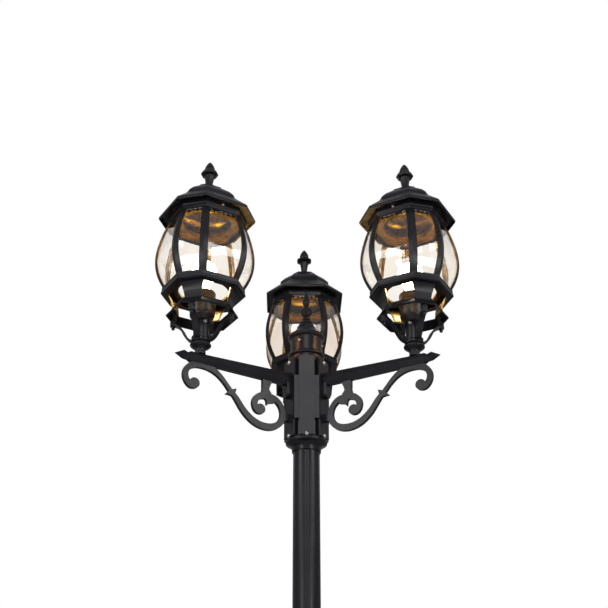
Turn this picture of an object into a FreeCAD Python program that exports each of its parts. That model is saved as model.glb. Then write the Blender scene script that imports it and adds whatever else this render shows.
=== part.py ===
"""A garden lamp post with three lantern heads on scroll-braced arms.

Frame: millimetres, +Z up, origin on the ground at the middle of the cast foot.
One arm points along +Y; the other two stand 120 degrees to its left and right.
Inside a lantern the heights are counted from the flat top of its arm.
"""
import FreeCAD, Part
import math
import os

import Sketcher
from FreeCAD import Placement, Rotation, Vector

# ---------------------------------------------------------------- driving sizes
SIZES = {
    "arm_top_z": 1710, "reach": 275, "hub_flat": 37, "hub_core": 40, "strip_face": 48, "strip_wide": 35,
    "panel_face": 44, "panel_wide": 57, "plate_wide": 42, "plate_thick": 10, "hub_up": 44, "hub_down": 150,
    "cap_seat_r": 33.7, "drum_r": 37.5,
    "pole_r": 30, "pole_wall": 3.5, "pole_foot_z": 120, "pole_gap": 28, "flute_r": 6.5, "flute_deep": 1.8,
    "foot_r": 140, "foot_thick": 10, "bell_r": 112, "bell_wall": 7, "sleeve_r": 43, "sleeve_top": 200,
    "anchor_ring_r": 125, "anchor_hole_r": 7, "slack": 0.3, "wire_bore": 4, "wire_r": 2, "wire_z": 12,
    "stem_r": 18, "stem_top": 84, "stem_bore": 5, "collar_r": 21.3, "leg_wide": 13, "leg_thick": 5,
    "boss_at": 68, "boss_r": 6.5, "boss_low": 76, "nut_r": 4, "holder_r": 28.5, "holder_top": 155,
    "socket_r": 13.6, "ring_low_r": 82, "ring_low_z": 94, "ring_top_r": 70, "ring_top_z": 110,
    "ring_wall": 3, "window_half": 33, "sill_low": 147, "sill_top": 162, "sill_r": 96.5, "floor_z": 157,
    "eye_r": 57, "rib_flank": 10.5, "rib_thick": 2, "rib_top_z": 335.5, "pane_thick": 3,
    "neck_r": 87.3, "neck_top": 355, "band_top": 343, "ledge_z": 338, "eave_r": 114.5, "eave_z": 349,
    "skirt_low": 343.5, "skirt_r": 94, "skirt_in": 88.2, "roof_screw_z": 350, "roof_wall": 3,
    "roof_top": 440, "finial_tip": 521,
    "bulb_r": 30, "bulb_z": 208, "cap_r": 13.2, "scroll_thick": 9, "tip_gap": 0.6,
}

doc = FreeCAD.newDocument("lamp_post")
sheet = doc.addObject("Spreadsheet::Sheet", "Sizes")
for row, (alias, value) in enumerate(SIZES.items(), 1):
    sheet.set("A%d" % row, alias)
    sheet.set("B%d" % row, str(value))
    sheet.setAlias("B%d" % row, alias)
doc.recompute()


class Size:
    """A length together with the spreadsheet formula that gives it."""

    def __init__(self, value, text):
        self.value = float(value)
        self.text = text

    def __add__(self, other):
        other = size(other)
        return Size(self.value + other.value, "(%s + %s)" % (self.text, other.text))

    def __sub__(self, other):
        other = size(other)
        return Size(self.value - other.value, "(%s - %s)" % (self.text, other.text))

    def __mul__(self, factor):
        return Size(self.value * factor, "(%s * %.9g)" % (self.text, factor))

    def __neg__(self):
        return self * -1


def size(thing):
    """A plain number as a Size, or the Size itself."""
    return thing if isinstance(thing, Size) else Size(thing, "%.9g" % thing)


class Sheet:
    """Each alias of the spreadsheet as a Size, such as s.reach."""

    def __getattr__(self, alias):
        return Size(getattr(sheet, alias), "Sizes." + alias)


s = Sheet()
nodes = []


# ---------------------------------------------------------------- places
# Directions of the three arms, in degrees from +X.
ARMS = {"left": 210, "right": -30, "back": 90}
# Between the arms the hub has three flat strips.
STRIPS = (-90, 30, 150)


def turn(degrees):
    return Rotation(Vector(0, 0, 1), degrees)


def post_frame():
    """The frame of the hub: on the axis, heights from the top of the arms."""
    return Placement(Vector(0, 0, s.arm_top_z.value), Rotation())


def arm_frame(degrees):
    """On the post's axis, with X along one arm."""
    return Placement(Vector(0, 0, s.arm_top_z.value), turn(degrees))


def lantern_frame(degrees):
    """On a lantern's axis, with X along its arm, heights from the arm's top."""
    along = turn(degrees).multVec(Vector(s.reach.value, 0, 0))
    return Placement(along + Vector(0, 0, s.arm_top_z.value), turn(degrees))


def keep(obj, label, frame=None):
    """Name a finished sub-part, place it and put it on the list of nodes."""
    obj.Label = label
    if frame is not None:
        obj.Placement = frame
    if obj.TypeId == "PartDesign::Body" and frame is not None and frame.Base.z:
        obj.setExpression("Placement.Base.z", "Sizes.arm_top_z")
    nodes.append(obj)
    return obj


def solid(label, shape, frame=None):
    """A sub-part whose shape is worked out here from the sheet's sizes."""
    obj = doc.addObject("Part::Feature", label)
    obj.Shape = shape
    return keep(obj, label, frame)


# ---------------------------------------------------------------- makers for bodies
def origin_part(body, role):
    return [feature for feature in body.Origin.OriginFeatures if feature.Role == role][0]


def outline_sketch(body, name, role, points, shift=0):
    """A closed outline whose corners are bound to the sheet.

    Each corner is (across, up) or (across, up, radius): a radius makes the side
    that starts there an arc, and its sign says which way the arc bulges.
    """
    sketch = body.newObject("Sketcher::SketchObject", name)
    sketch.AttachmentSupport = [(origin_part(body, role), "")]
    sketch.MapMode = "FlatFace"
    sketch.AttachmentOffset = Placement(Vector(0, 0, shift), Rotation())
    corners = [(size(p[0]), size(p[1])) for p in points]
    count = len(points)
    ends = []
    radii = []
    for i in range(count):
        a = Vector(corners[i][0].value, corners[i][1].value, 0)
        b = Vector(corners[(i + 1) % count][0].value, corners[(i + 1) % count][1].value, 0)
        if len(points[i]) < 3:
            sketch.addGeometry(Part.LineSegment(a, b), False)
            ends.append((1, 2))
            continue
        radius = points[i][2]
        chord = b - a
        side = Vector(-chord.y, chord.x, 0).normalize() * math.copysign(1, radius)
        rise = abs(radius) - math.sqrt(radius * radius - chord.Length ** 2 / 4)
        index = sketch.addGeometry(Part.Arc(a, (a + b) * 0.5 + side * rise, b), False)
        first = sketch.getPoint(index, 1)
        ends.append((1, 2) if (first - a).Length < 1e-6 else (2, 1))
        radii.append((index, abs(radius)))
    for i in range(count):
        follower = (i + 1) % count
        sketch.addConstraint(Sketcher.Constraint("Coincident", i, ends[i][1], follower, ends[follower][0]))
    for i, (across, up) in enumerate(corners):
        for kind, length, axis in (("DistanceX", across, -2), ("DistanceY", up, -1)):
            if abs(length.value) < 1e-9:
                sketch.addConstraint(Sketcher.Constraint("PointOnObject", i, ends[i][0], axis))
                continue
            number = sketch.addConstraint(
                Sketcher.Constraint(kind, -1, 1, i, ends[i][0], length.value))
            if "Sizes." in length.text:
                sketch.setExpression("Constraints[%d]" % number, length.text)
    for index, radius in radii:
        sketch.addConstraint(Sketcher.Constraint("Radius", index, radius))
    return sketch


def add_turned(body, name, points, cut=False):
    """Turn an outline of (radius, height) corners about the body's Z axis."""
    sketch = outline_sketch(body, name + "_outline", "XZ_Plane", points)
    feature = body.newObject("PartDesign::Groove" if cut else "PartDesign::Revolution", name)
    feature.Profile = sketch
    feature.ReferenceAxis = (sketch, ["V_Axis"])
    feature.Angle = 360
    return feature


def turned(label, points, frame=None):
    """A lathe-turned or round cast piece in a body of its own."""
    body = doc.addObject("PartDesign::Body", label)
    add_turned(body, label + "_turned", points)
    return keep(body, label, frame)


def add_pad(body, name, points, length, shift=0, cut=False):
    """Pad or pocket an outline drawn in plan, upwards from the height shift."""
    sketch = outline_sketch(body, name + "_outline", "XY_Plane", points, shift)
    feature = body.newObject("PartDesign::Pocket" if cut else "PartDesign::Pad", name)
    feature.Profile = sketch
    feature.Reversed = cut
    length = size(length)
    feature.Length = length.value
    if "Sizes." in length.text:
        feature.setExpression("Length", length.text)
    return feature


def add_spread(body, feature, count):
    """Repeat a body's last feature evenly about the Z axis."""
    spread = body.newObject("PartDesign::PolarPattern", feature.Name + "_spread")
    spread.Originals = [feature]
    spread.Axis = (origin_part(body, "Z_Axis"), [""])
    spread.Angle = 360
    spread.Occurrences = count
    body.Tip = spread
    return spread


# ---------------------------------------------------------------- makers for plain shapes
def rod(radius, low, high, x=0.0, y=0.0):
    """An upright cylinder between two heights."""
    return Part.makeCylinder(radius, high - low, Vector(x, y, low))


def cross_rod(radius, start, end, degrees, z):
    """A level cylinder that points away from the Z axis."""
    out = turn(degrees).multVec(Vector(1, 0, 0))
    return Part.makeCylinder(radius, end - start, out * start + Vector(0, 0, z), out)


def block(x0, x1, half_wide, z0, z1):
    """A box that is centred on the X axis."""
    return Part.makeBox(x1 - x0, 2 * half_wide, z1 - z0, Vector(x0, -half_wide, z0))


def octagon(radius, z, half=27.0):
    """Corners of the lantern's plan: long sides face the arm, short ones are its corners."""
    angles = [quarter + side for quarter in (0, 90, 180, 270) for side in (-half, half)]
    return [Vector(radius * math.cos(math.radians(a)), radius * math.sin(math.radians(a)), z) for a in angles]


def stack(levels):
    """A closed solid through octagons, each (radius, height) or (radius, height, half angle)."""
    rings = [octagon(*level) for level in levels]
    faces = [Part.Face(Part.makePolygon(rings[0] + rings[0][:1])),
             Part.Face(Part.makePolygon(rings[-1] + rings[-1][:1]))]
    for low, high in zip(rings, rings[1:]):
        for i in range(8):
            j = (i + 1) % 8
            faces.append(Part.Face(Part.makePolygon([low[i], low[j], high[j], high[i], low[i]])))
    made = Part.Solid(Part.Shell(faces))
    return made if made.Volume > 0 else made.reversed()


def fused(shapes):
    """One solid from several that touch or overlap."""
    made = shapes[0].multiFuse(shapes[1:]).removeSplitter()
    return made.Solids[0] if len(made.Solids) == 1 else made


def band(middle, widths, steps=8):
    """The flat outline of a bar that follows a smooth line and changes its width.

    middle holds the (x, z) points of the line, widths the bar's width at each.
    The edges are splines through points offset squarely from the line.
    """
    line = Part.BSplineCurve()
    line.interpolate([Vector(x, 0, z) for x, z in middle])
    first, last = line.FirstParameter, line.LastParameter
    marks = [line.parameter(Vector(x, 0, z)) for x, z in middle]
    count = steps * (len(middle) - 1)
    sides = {1: [], -1: []}
    for i in range(count + 1):
        u = first + (last - first) * i / count
        k = max(0, min(len(marks) - 2, sum(1 for mark in marks[1:-1] if mark <= u)))
        share = (u - marks[k]) / (marks[k + 1] - marks[k])
        half = (widths[k] * (1 - share) + widths[k + 1] * share) / 2
        way = line.tangent(u)[0]
        for sign in sides:
            sides[sign].append(line.value(u) + Vector(-way.z, 0, way.x) * half * sign)
    edges = []
    for sign in sides:
        side = Part.BSplineCurve()
        side.interpolate(sides[sign][::2])
        edges.append(side.toShape())
    edges.append(Part.makeLine(sides[1][0], sides[-1][0]))
    edges.append(Part.makeLine(sides[1][-1], sides[-1][-1]))
    return Part.Face(Part.Wire(Part.__sortEdges__(edges)))


def plate(face, thick):
    """Give a flat outline in the XZ plane its thickness, half to each side."""
    moved = face.copy()
    moved.translate(Vector(0, -thick / 2, 0))
    return moved.extrude(Vector(0, thick, 0))


def dome_screw(radius, head, shank_r, length, degrees, at, z):
    """A screw whose domed head lies outwards from the face at the distance at."""
    out = turn(degrees).multVec(Vector(1, 0, 0))
    foot = out * at + Vector(0, 0, z)
    ball_r = (radius * radius + head * head) / (2 * head)
    ball = Part.makeSphere(ball_r, foot + out * (head - ball_r))
    cover = Part.makeCylinder(radius, head, foot, out).common(ball)
    return cover.fuse(Part.makeCylinder(shank_r, length, foot - out * length, out)).removeSplitter()


# ---------------------------------------------------------------- foot and pole
def make_foot():
    """A bell-shaped cast foot: anchor flange, bell, sleeve with a stop for the pole."""
    body = doc.addObject("PartDesign::Body", "foot")
    lip = s.pole_r - s.pole_wall - 1
    bore = s.pole_r + s.slack
    add_turned(body, "foot_bell", [
        (s.foot_r, 0), (s.foot_r, s.foot_thick - 2), (s.foot_r - 2, s.foot_thick),
        (s.bell_r + 4, s.foot_thick), (s.bell_r, s.foot_thick + 4), (s.bell_r, s.foot_thick + 14, -9),
        (s.bell_r - 12, s.foot_thick + 22, 92), (s.sleeve_r + 9, s.pole_foot_z - 6),
        (s.sleeve_r + 14, s.pole_foot_z - 2, -6), (s.sleeve_r + 14, s.pole_foot_z + 8),
        (s.sleeve_r + 5, s.pole_foot_z + 12), (s.sleeve_r, s.pole_foot_z + 22),
        (s.sleeve_r, s.sleeve_top - 18), (s.sleeve_r + 5, s.sleeve_top - 15, -4),
        (s.sleeve_r + 5, s.sleeve_top - 8), (s.sleeve_r - 2, s.sleeve_top), (bore, s.sleeve_top),
        (bore, s.pole_foot_z), (lip, s.pole_foot_z), (lip, s.pole_foot_z - 8),
        (s.sleeve_r - 4, s.pole_foot_z - 14, -92), (s.bell_r - 14 - s.bell_wall, s.foot_thick + 14),
        (s.bell_r - s.bell_wall, s.foot_thick), (s.bell_r - s.bell_wall, 0)])
    doc.recompute()
    hole = add_round_pocket(body, "anchor_hole", s.anchor_hole_r, s.anchor_ring_r, s.foot_thick + 4)
    add_spread(body, hole, 4)
    doc.recompute()
    grub = add_side_hole(body, "foot_grub_hole", 3, 26, s.sleeve_top - 30)
    add_spread(body, grub, 3)
    keep(body, "foot")


def add_round_pocket(body, name, radius, at, deep):
    """A round hole straight up from the body's XY plane, at a distance along the diagonal."""
    sketch = body.newObject("Sketcher::SketchObject", name + "_outline")
    sketch.AttachmentSupport = [(origin_part(body, "XY_Plane"), "")]
    sketch.MapMode = "FlatFace"
    diagonal = at * math.sqrt(0.5)
    sketch.addGeometry(Part.Circle(Vector(diagonal.value, diagonal.value, 0), Vector(0, 0, 1), radius.value))
    for kind, length in (("DistanceX", diagonal), ("DistanceY", diagonal)):
        number = sketch.addConstraint(Sketcher.Constraint(kind, -1, 1, 0, 3, length.value))
        sketch.setExpression("Constraints[%d]" % number, length.text)
    number = sketch.addConstraint(Sketcher.Constraint("Radius", 0, radius.value))
    sketch.setExpression("Constraints[%d]" % number, radius.text)
    pocket = body.newObject("PartDesign::Pocket", name)
    pocket.Profile = sketch
    pocket.Length = deep.value
    pocket.setExpression("Length", deep.text)
    pocket.Reversed = True
    return pocket


def add_side_hole(body, name, radius, start, z):
    """A level hole towards -Y through a wall, at the height z."""
    sketch = body.newObject("Sketcher::SketchObject", name + "_outline")
    sketch.AttachmentSupport = [(origin_part(body, "XZ_Plane"), "")]
    sketch.MapMode = "FlatFace"
    sketch.AttachmentOffset = Placement(Vector(0, 0, start), Rotation())
    sketch.addGeometry(Part.Circle(Vector(0, z.value, 0), Vector(0, 0, 1), radius))
    sketch.addConstraint(Sketcher.Constraint("PointOnObject", 0, 3, -2))
    number = sketch.addConstraint(Sketcher.Constraint("DistanceY", -1, 1, 0, 3, z.value))
    if "Sizes." in z.text:
        sketch.setExpression("Constraints[%d]" % number, z.text)
    sketch.addConstraint(Sketcher.Constraint("Radius", 0, radius))
    pocket = body.newObject("PartDesign::Pocket", name)
    pocket.Profile = sketch
    pocket.Length = 60
    pocket.Reversed = True
    return pocket


def make_pole():
    """An extruded tube with six rounded flutes and broad lands between them."""
    body = doc.addObject("PartDesign::Body", "pole")
    top = s.arm_top_z - s.pole_gap
    inside = s.pole_r - s.pole_wall
    add_turned(body, "pole_tube", [
        (inside, s.pole_foot_z), (s.pole_r, s.pole_foot_z), (s.pole_r, top), (inside, top)])
    doc.recompute()
    sketch = body.newObject("Sketcher::SketchObject", "flute_outline")
    sketch.AttachmentSupport = [(origin_part(body, "XY_Plane"), "")]
    sketch.MapMode = "FlatFace"
    away = s.pole_r - s.flute_deep + s.flute_r
    sketch.addGeometry(Part.Circle(Vector(0, -away.value, 0), Vector(0, 0, 1), s.flute_r.value))
    sketch.addConstraint(Sketcher.Constraint("PointOnObject", 0, 3, -2))
    number = sketch.addConstraint(Sketcher.Constraint("DistanceY", -1, 1, 0, 3, -away.value))
    sketch.setExpression("Constraints[%d]" % number, (-away).text)
    number = sketch.addConstraint(Sketcher.Constraint("Radius", 0, s.flute_r.value))
    sketch.setExpression("Constraints[%d]" % number, s.flute_r.text)
    flute = body.newObject("PartDesign::Pocket", "flute")
    flute.Profile = sketch
    flute.Length = top.value + 1
    flute.setExpression("Length", (top + 1).text)
    flute.Reversed = True
    add_spread(body, flute, 6)
    keep(body, "pole")


# ---------------------------------------------------------------- hub
def make_hub():
    """The cast hub: turned core and cup, three flats for the arms, three strips between them."""
    up = s.hub_up
    down = s.hub_down
    body = doc.addObject("PartDesign::Body", "hub")
    bore = s.pole_r + s.slack
    add_turned(body, "hub_core", [
        (s.hub_core, up), (s.cap_seat_r, up), (s.cap_seat_r, up + 52), (s.cap_seat_r - 4, up + 52),
        (s.cap_seat_r - 4, up), (10, up), (10, up - 8), (26, up - 8), (26, -s.pole_gap), (bore, -s.pole_gap),
        (bore, -(down + 28)), (bore + 2.2, -(down + 28)), (bore + 3, -(down + 23), 14),
        (s.hub_core + 4, -(down + 10)), (s.hub_core + 7, -(down + 8)), (s.hub_core + 7.5, -(down + 2)),
        (s.hub_core + 6, -down), (s.hub_core, -down)])
    doc.recompute()
    half = s.strip_wide * 0.5
    strip = add_pad(body, "strip", [(-half, -s.strip_face), (half, -s.strip_face), (half, -34), (-half, -34)],
                    up + down, -down.value)
    add_spread(body, strip, 3)
    doc.recompute()
    half = s.panel_wide * 0.5
    panel = add_pad(body, "panel", [(-half, -s.panel_face), (half, -s.panel_face), (22, -33), (-22, -33)],
                    105, -110)
    add_spread(body, panel, 3)
    doc.recompute()
    half = s.plate_wide * 0.5
    far = s.strip_face + 12
    seat = add_pad(body, "arm_seat", [(-half, s.hub_flat), (half, s.hub_flat), (half, far), (-half, far)],
                   up + down, -down.value, cut=True)
    add_spread(body, seat, 3)
    doc.recompute()
    grub = add_side_hole(body, "pole_grub_hole", 3, 26, -(down - 1))
    add_spread(body, grub, 3)
    doc.recompute()
    wire = add_wire_holes(body)
    add_spread(body, wire, 3)
    keep(body, "hub", post_frame())


def add_wire_holes(body):
    """A level hole towards +Y, where a lead leaves the hub for its arm."""
    sketch = body.newObject("Sketcher::SketchObject", "wire_outline")
    sketch.AttachmentSupport = [(origin_part(body, "XZ_Plane"), "")]
    sketch.MapMode = "FlatFace"
    sketch.addGeometry(Part.Circle(Vector(0, -s.wire_z.value, 0), Vector(0, 0, 1), s.wire_bore.value))
    sketch.addConstraint(Sketcher.Constraint("PointOnObject", 0, 3, -2))
    number = sketch.addConstraint(Sketcher.Constraint("DistanceY", -1, 1, 0, 3, -s.wire_z.value))
    sketch.setExpression("Constraints[%d]" % number, (-s.wire_z).text)
    sketch.addConstraint(Sketcher.Constraint("Radius", 0, s.wire_bore.value))
    pocket = body.newObject("PartDesign::Pocket", "wire_hole")
    pocket.Profile = sketch
    pocket.Length = 60
    return pocket


def make_hub_cap():
    """The turned cap over the hub's terminals, with ringed skirt, drum, rim and stepped cone."""
    z = s.hub_up
    inside = s.cap_seat_r + s.slack
    turned("hub_cap", [
        (inside, z), (41, z), (41.5, z + 2), (41.5, z + 8), (38.5, z + 10), (38.5, z + 11), (42, z + 13, -5),
        (42, z + 19), (38, z + 22), (s.drum_r, z + 23), (s.drum_r, z + 58), (40, z + 60), (43, z + 62, -6),
        (43, z + 68), (40, z + 71, 30), (25, z + 86), (23, z + 88), (22.5, z + 93), (18.5, z + 97),
        (17.5, z + 104), (13.5, z + 108), (12, z + 114), (8, z + 119), (0, z + 119), (0, z + 84),
        (20, z + 80), (inside, z + 66)], post_frame())
    turned("hub_finial", [
        (0, z + 119), (6, z + 119), (6, z + 122), (9, z + 124), (14, z + 131, -9), (14, z + 140),
        (8, z + 147), (5.5, z + 152), (8.5, z + 158, -10), (9, z + 165), (5, z + 182), (0, z + 200)],
        post_frame())


# Directions of the three small screws through the cap's drum.
CAP_SCREWS = (-118, 2, 122)
ARM_BOLT_R = 2.5


def arm_bolt_heights():
    """Heights of the two screws in each arm's plate, near its upper and lower ends."""
    return (s.hub_up.value - 10, 4 - s.hub_down.value)


def make_hub_hardware():
    """Screws of the hub and the foot, and the terminal block under the cap."""
    down = s.hub_down.value
    face = s.hub_flat.value + s.plate_thick.value
    arm_screws = [dome_screw(5.5, 3.6, ARM_BOLT_R, 14, degrees, face, z)
                  for degrees in ARMS.values() for z in arm_bolt_heights()]
    solid("arm_screws", Part.makeCompound(arm_screws), post_frame())
    grub_at = s.strip_face.value
    reach_in = grub_at - s.pole_r.value + s.flute_deep.value - s.tip_gap.value
    grubs = [dome_screw(4.5, 3, 2.8, reach_in, degrees, grub_at, 1 - down) for degrees in STRIPS]
    solid("pole_screws", Part.makeCompound(grubs), post_frame())
    drum = s.drum_r.value
    reach_in = drum - s.cap_seat_r.value - 0.1
    cap_screws = [dome_screw(3.4, 2.4, 1.8, reach_in, degrees, drum, s.hub_up.value + 46)
                  for degrees in CAP_SCREWS]
    solid("cap_screws", Part.makeCompound(cap_screws), post_frame())
    foot_at = s.sleeve_r.value
    reach_in = foot_at - s.pole_r.value + s.flute_deep.value - s.tip_gap.value
    foot_screws = [dome_screw(4.5, 3, 2.8, reach_in, degrees, foot_at, s.sleeve_top.value - 30)
                   for degrees in STRIPS]
    solid("foot_screws", Part.makeCompound(foot_screws))
    z = s.hub_up.value
    terminals = [rod(3.4, z + 14, z + 19, x, y) for x in (-11, 0, 11) for y in (-4, 4)]
    solid("terminal_block", fused([block(-17, 17, 9, z, z + 14)] + terminals), post_frame())


# ---------------------------------------------------------------- arms
# Cross-sections of an arm: distance out, then top, crease and underside as (half width, height).
ARM_SECTIONS = (
    (47, (7, 5.5), (11.5, -12), (6, -25)),
    (256, (7, 0), (10.5, -11.5), (5.5, -22.5)),
    (300, (7, 0), (10.5, -11.5), (5.5, -22)),
    (306, (4.5, -3), (7, -11), (4, -19)),
    (316, (5.5, 0), (9, -10), (4.5, -17.5)),
    (335, (0.6, -9), (1, -9.6), (0.6, -10.4)),
)


def arm_section(out, top, crease, low):
    points = [top, crease, low]
    ring = [Vector(out, y, z) for y, z in points] + [Vector(out, -y, z) for y, z in reversed(points)]
    return Part.makePolygon(ring + ring[:1])


def arm_shape():
    """One arm casting: bolted plate, ridged tapering beam with a spear tip, gusset and lug."""
    flat = s.hub_flat.value
    face = flat + s.plate_thick.value
    wires = [arm_section(*section) for section in ARM_SECTIONS]
    beam = Part.makeLoft(wires, True, True)
    back = block(flat, face, s.plate_wide.value / 2, -s.hub_down.value, s.hub_up.value - 2)
    gusset = block(face - 1, face + 11, 11, -46, -20).fuse(cross_rod(11, face - 1, face + 11, 0, -46))
    lug = block(face - 1, face + 16, s.scroll_thick.value / 2, -113, -96)
    made = fused([beam, back, gusset, lug])
    bore = s.wire_bore.value
    turn_at = Vector(s.reach.value, 0, -s.wire_z.value)
    duct = cross_rod(bore, flat - 1, turn_at.x, 0, turn_at.z)
    riser = rod(bore, turn_at.z, 1, turn_at.x)
    made = made.cut(duct.fuse(riser).fuse(Part.makeSphere(bore, turn_at)))
    for z in arm_bolt_heights():
        made = made.cut(cross_rod(ARM_BOLT_R, flat - 1, face + 1, 0, z))
    return made.Solids[0]


# The scroll's two bars as (distance out, height, width) along their middle lines.
OUTER_BAR = (
    (195, -73, 10), (210, -56, 9), (226, -40.5, 11), (246, -29, 14), (270, -25, 15), (292, -29, 14.5),
    (306, -42, 13), (308.5, -57, 13), (303, -70, 13.5), (294, -77, 14), (286, -77, 13))
INNER_BAR = (
    (195, -73, 9.5), (182, -86, 12), (170, -102, 13), (151, -121, 14.5), (128, -133.5, 15.5),
    (103, -136.5, 16), (80, -129, 15), (66, -112, 13.5), (64.5, -93, 12.5), (72, -76, 12.5),
    (86, -65.5, 13.5), (104, -63, 15), (123, -66, 15), (134.5, -77, 14), (136, -91, 13.5),
    (130, -101, 14), (122, -103, 13))
# Corners, as (distance out, height), of the knuckle where the bars meet and of the leaf below the strut.
KNUCKLE = ((183.5, -62.5), (190, -64.5), (199, -68), (210, -79.5), (203, -79.5), (193, -81), (186, -73))
LEAF = ((88, -68), (112, -66), (107, -75), (105.5, -85.5), (99, -79), (86, -76))


def scroll_shape(arm):
    """The flat scroll bracket under an arm, fitted to the arm's underside and lug."""
    thick = s.scroll_thick.value
    outer = plate(band([p[:2] for p in OUTER_BAR], [p[2] for p in OUTER_BAR]), thick)
    inner = plate(band([p[:2] for p in INNER_BAR], [p[2] for p in INNER_BAR]), thick)
    ends = [Part.makeCylinder(12, thick, Vector(x, -thick / 2, z), Vector(0, 1, 0))
            for x, z in ((286, -71), (121.8, -97.3))]
    stem = plate(band([(104, -15), (108, -35), (109, -46), (106, -60)], [30, 20, 16.5, 26]), thick)
    flats = [Part.Face(Part.makePolygon([Vector(x, 0, z) for x, z in corners + corners[:1]]))
             for corners in (KNUCKLE, LEAF)]
    made = fused([outer, inner, stem] + [plate(flat, thick) for flat in flats] + ends)
    return made.cut(arm).Solids[0]


def make_arms():
    arm = arm_shape()
    scroll = scroll_shape(arm)
    for name, degrees in ARMS.items():
        solid("arm_" + name, arm.copy(), arm_frame(degrees))
        solid("scroll_" + name, scroll.copy(), arm_frame(degrees))


def lead_shape():
    """One lead from the terminals down into the hub, along the arm and up to its lampholder."""
    bend = 10.0
    z = -s.wire_z.value
    start = 6.0
    reach = s.reach.value
    top = s.stem_top.value
    corner = bend * (1 - math.sqrt(0.5))
    rise = 5.0
    first_arc = Part.Arc(Vector(start, 0, z + bend), Vector(start + corner, 0, z + corner),
                         Vector(start + bend, 0, z))
    last_corner = rise * (1 - math.sqrt(0.5))
    last_arc = Part.Arc(Vector(reach - rise, 0, z), Vector(reach - last_corner, 0, z + last_corner),
                        Vector(reach, 0, z + rise))
    path = Part.Wire([
        Part.makeLine(Vector(start, 0, s.hub_up.value), Vector(start, 0, z + bend)),
        first_arc.toShape(),
        Part.makeLine(Vector(start + bend, 0, z), Vector(reach - rise, 0, z)),
        last_arc.toShape(),
        Part.makeLine(Vector(reach, 0, z + rise), Vector(reach, 0, top))])
    ring = Part.Wire(Part.makeCircle(s.wire_r.value, Vector(start, 0, s.hub_up.value), Vector(0, 0, 1)))
    return path.makePipeShell([ring], True, False)


# ---------------------------------------------------------------- lantern, from the arm up
def make_stem(name, frame):
    """The turned stem: foot, bulged cup and straight tube, bored for the lead."""
    r = s.stem_r
    turned("stem_" + name, [
        (s.stem_bore, 0), (12.5, 0), (12.5, 4), (11.8, 7), (12.5, 11, 16), (20, 17), (23.2, 20, -3.6),
        (23.2, 24), (19.5, 28), (r, 30), (r, s.stem_top), (s.stem_bore, s.stem_top)], frame)


def leg_shape():
    """One S-curved flat leg in the XZ plane with the boss at its end."""
    foot, reach, boss_low = s.stem_r.value, s.boss_at.value, s.boss_low.value
    face = band([(foot + 2, 34), (26, 36.5), (33.5, 44), (40, 55), (46.5, 66), (54, 73.5), (reach - 3, 79)],
                [s.leg_thick.value] * 7)
    return plate(face, s.leg_wide.value).fuse(rod(s.boss_r.value, boss_low, s.ring_top_z.value - 2, reach))


def spider_shape(gallery):
    """The ringed collar round the stem with its four legs, under the gallery's corners."""
    r = s.collar_r.value
    collar = [rod(r, 30, 34.5), rod(r - 1.6, 34.5, 36.5), rod(r, 36.5, 41)]
    legs = [leg_shape() for _ in range(4)]
    for i, leg in enumerate(legs):
        leg.rotate(Vector(0, 0, 0), Vector(0, 0, 1), 45 + 90 * i)
    made = fused(collar + legs).cut(rod(s.stem_r.value, 20, 90)).cut(gallery)
    return max(made.Solids, key=lambda piece: piece.Volume)


def gallery_shape():
    """The lower casting: flared ring, cove brackets on the short sides, sill and pierced floor."""
    wall = s.ring_wall.value
    low, top = s.ring_low_z.value, s.ring_top_z.value
    r0, r1 = s.ring_low_r.value, s.ring_top_r.value
    ring = stack([(r0, low), (r0 - 1, low + 3), (r1, top), (r1, top + 3)])
    ring = ring.cut(stack([(r0 - wall, low - 1), (r0 - wall - 1, low + 2),
                           (r1 - wall - 1, top - 1), (r1 - wall - 1, top + 4)]))
    sill_r = s.sill_r.value
    z0, z1 = s.sill_low.value, s.sill_top.value
    cove = [(r1 - 1, top), (r1, top + 8), (r1 + 2, top + 18), (r1 + 6, top + 28), (r1 + 13, z0 + 2)]
    coves = stack(cove).cut(stack([(r - 4, z) for r, z in cove]))
    half = s.window_half.value
    for angle in (0, 90):
        window = Part.makeBox(240, 2 * half, z0 - top, Vector(-120, -half, top + 2))
        window.rotate(Vector(0, 0, 0), Vector(0, 0, 1), angle)
        coves = coves.cut(window)
    sill = stack([(sill_r - 3.5, z0), (sill_r, z0 + 2), (sill_r, z0 + 7),
                  (sill_r - 2, z0 + 9), (sill_r - 1, z1)])
    under = stack([(r1 + 7, z0 - 1), (sill_r - 9, s.floor_z.value)])
    sill = sill.cut(under).cut(rod(s.eye_r.value, z0 - 5, z1 + 5))
    made = fused([ring, coves, sill])
    return max(made.Solids, key=lambda piece: piece.Volume)


# How far the ribs stand out at each height: the lantern's barrel curve.
RIB_CURVE = (
    (91.5, 162), (101, 179), (109.5, 200), (115, 230), (114, 258), (107.5, 290), (99, 318), (91, 335.5))


def rib_section(radius, z):
    """The angle section of a rib, level, at the corner 27 degrees from the long side's middle."""
    flank, thick = s.rib_flank.value, s.rib_thick.value
    a = math.radians(27)
    bisector = math.radians(22.5)
    corner = Vector(radius * math.cos(a), radius * math.sin(a), z)
    normal = Vector(math.sqrt(0.5), math.sqrt(0.5), 0)
    long_end = corner + Vector(0, -flank, 0)
    short_end = corner + Vector(-math.sqrt(0.5), math.sqrt(0.5), 0) * flank
    back = corner - Vector(math.cos(bisector), math.sin(bisector), 0) * (thick / math.cos(bisector))
    ring = [long_end, corner, short_end, short_end - normal * thick, back, long_end - Vector(thick, 0, 0)]
    return Part.makePolygon(ring + ring[:1])


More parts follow.
